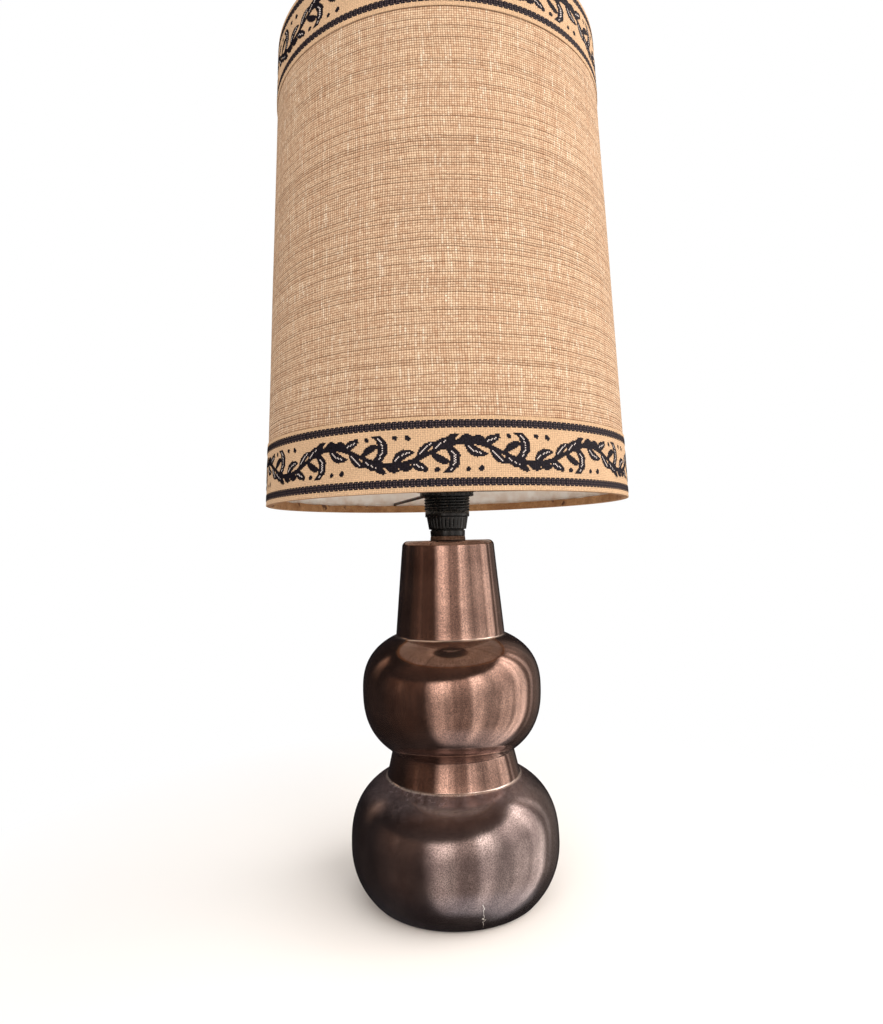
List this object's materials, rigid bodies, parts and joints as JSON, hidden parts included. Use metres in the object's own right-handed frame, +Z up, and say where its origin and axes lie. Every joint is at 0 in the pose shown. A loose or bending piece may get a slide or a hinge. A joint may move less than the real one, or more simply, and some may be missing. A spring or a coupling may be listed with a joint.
{
  "type": "table lamp",
  "caption": "Table lamp with a double-bulb glazed ceramic base, a screw lampholder and a tapered drum shade of slub linen with woven trims, held by screw rings.",
  "frame": {"origin": "middle of the foot's resting face", "axes": "+Z up along the lamp's axis, -Y towards the front, +Y towards the cord inlet at the back"},
  "size_m": [0.3084, 0.3084, 0.7169],
  "materials": {
    "ceramic_glaze": "semi-gloss bronze lustre glaze, finely speckled",
    "felt": "pressed wool felt",
    "fibreboard": "matte pressed board",
    "rubber": "matte moulded",
    "brass": "satin, slightly dulled",
    "bronze": "dull aged bronze",
    "zinc_steel": "zinc plated",
    "holder_plastic": "semi-gloss black moulding",
    "insert_ceramic": "matte unglazed",
    "frame_steel": "dark lacquered wire",
    "liner": "matte white sheet",
    "linen": "coarse slub linen, plain weave",
    "trim": "woven galloon, gold ground with raised black yarn",
    "hem_tape": "cotton tape, rust stained",
    "bulb_glass": "inside-frosted glass",
    "stem_glass": "clear drawn glass",
    "nickel": "nickel plated",
    "insulator": "black vitrite"
  },
  "bodies": {
    "root": {"ceramic_lower_bulb": "ceramic_glaze", "ceramic_upper_bulb": "ceramic_glaze", "ceramic_neck": "ceramic_glaze", "foot_felt": "felt", "base_cover": "fibreboard", "cord_grommet": "rubber", "neck_nipple": "brass", "inner_washer": "zinc_steel", "lock_washer": "zinc_steel", "inner_nut": "brass", "neck_washer": "bronze", "holder_cap": "holder_plastic", "cap_lock_screw": "zinc_steel", "holder_shell": "holder_plastic", "contact_insert": "insert_ceramic", "screw_socket": "brass", "centre_contact": "brass", "side_contact": "brass", "terminal_screws": "brass"},
    "lower_ring": {"lower_shade_ring": "holder_plastic"},
    "shade": {"spider_hub": "frame_steel", "spider_arms": "frame_steel", "bottom_frame_ring": "frame_steel", "top_frame_ring": "frame_steel", "shade_liner": "liner", "shade_fabric": "linen", "bottom_trim": "trim", "top_trim": "trim", "bottom_hem": "hem_tape", "top_hem": "hem_tape"},
    "upper_ring": {"upper_shade_ring": "holder_plastic"},
    "bulb": {"bulb_glass": "bulb_glass", "bulb_stem": "stem_glass", "bulb_cap": "nickel", "bulb_insulator": "insulator", "bulb_contact": "nickel"}
  },
  "joints": [
    {"name": "shade_height", "type": "slide", "parent": "root", "child": "lower_ring", "axis": [0, 0, 1], "range_m": [-0.008, 0.008]},
    {"name": "shade_turn", "type": "hinge", "parent": "lower_ring", "child": "shade", "pos_m": [0, 0, 0.3386], "axis": [0, 0, 1], "continuous": true},
    {"name": "upper_ring_lift", "type": "slide", "parent": "shade", "child": "upper_ring", "axis": [0, 0, 1], "range_m": [0, 0.009]},
    {"name": "bulb_unscrew", "type": "slide", "parent": "root", "child": "bulb", "axis": [0, 0, 1], "range_m": [0, 0.03]}
  ]
}
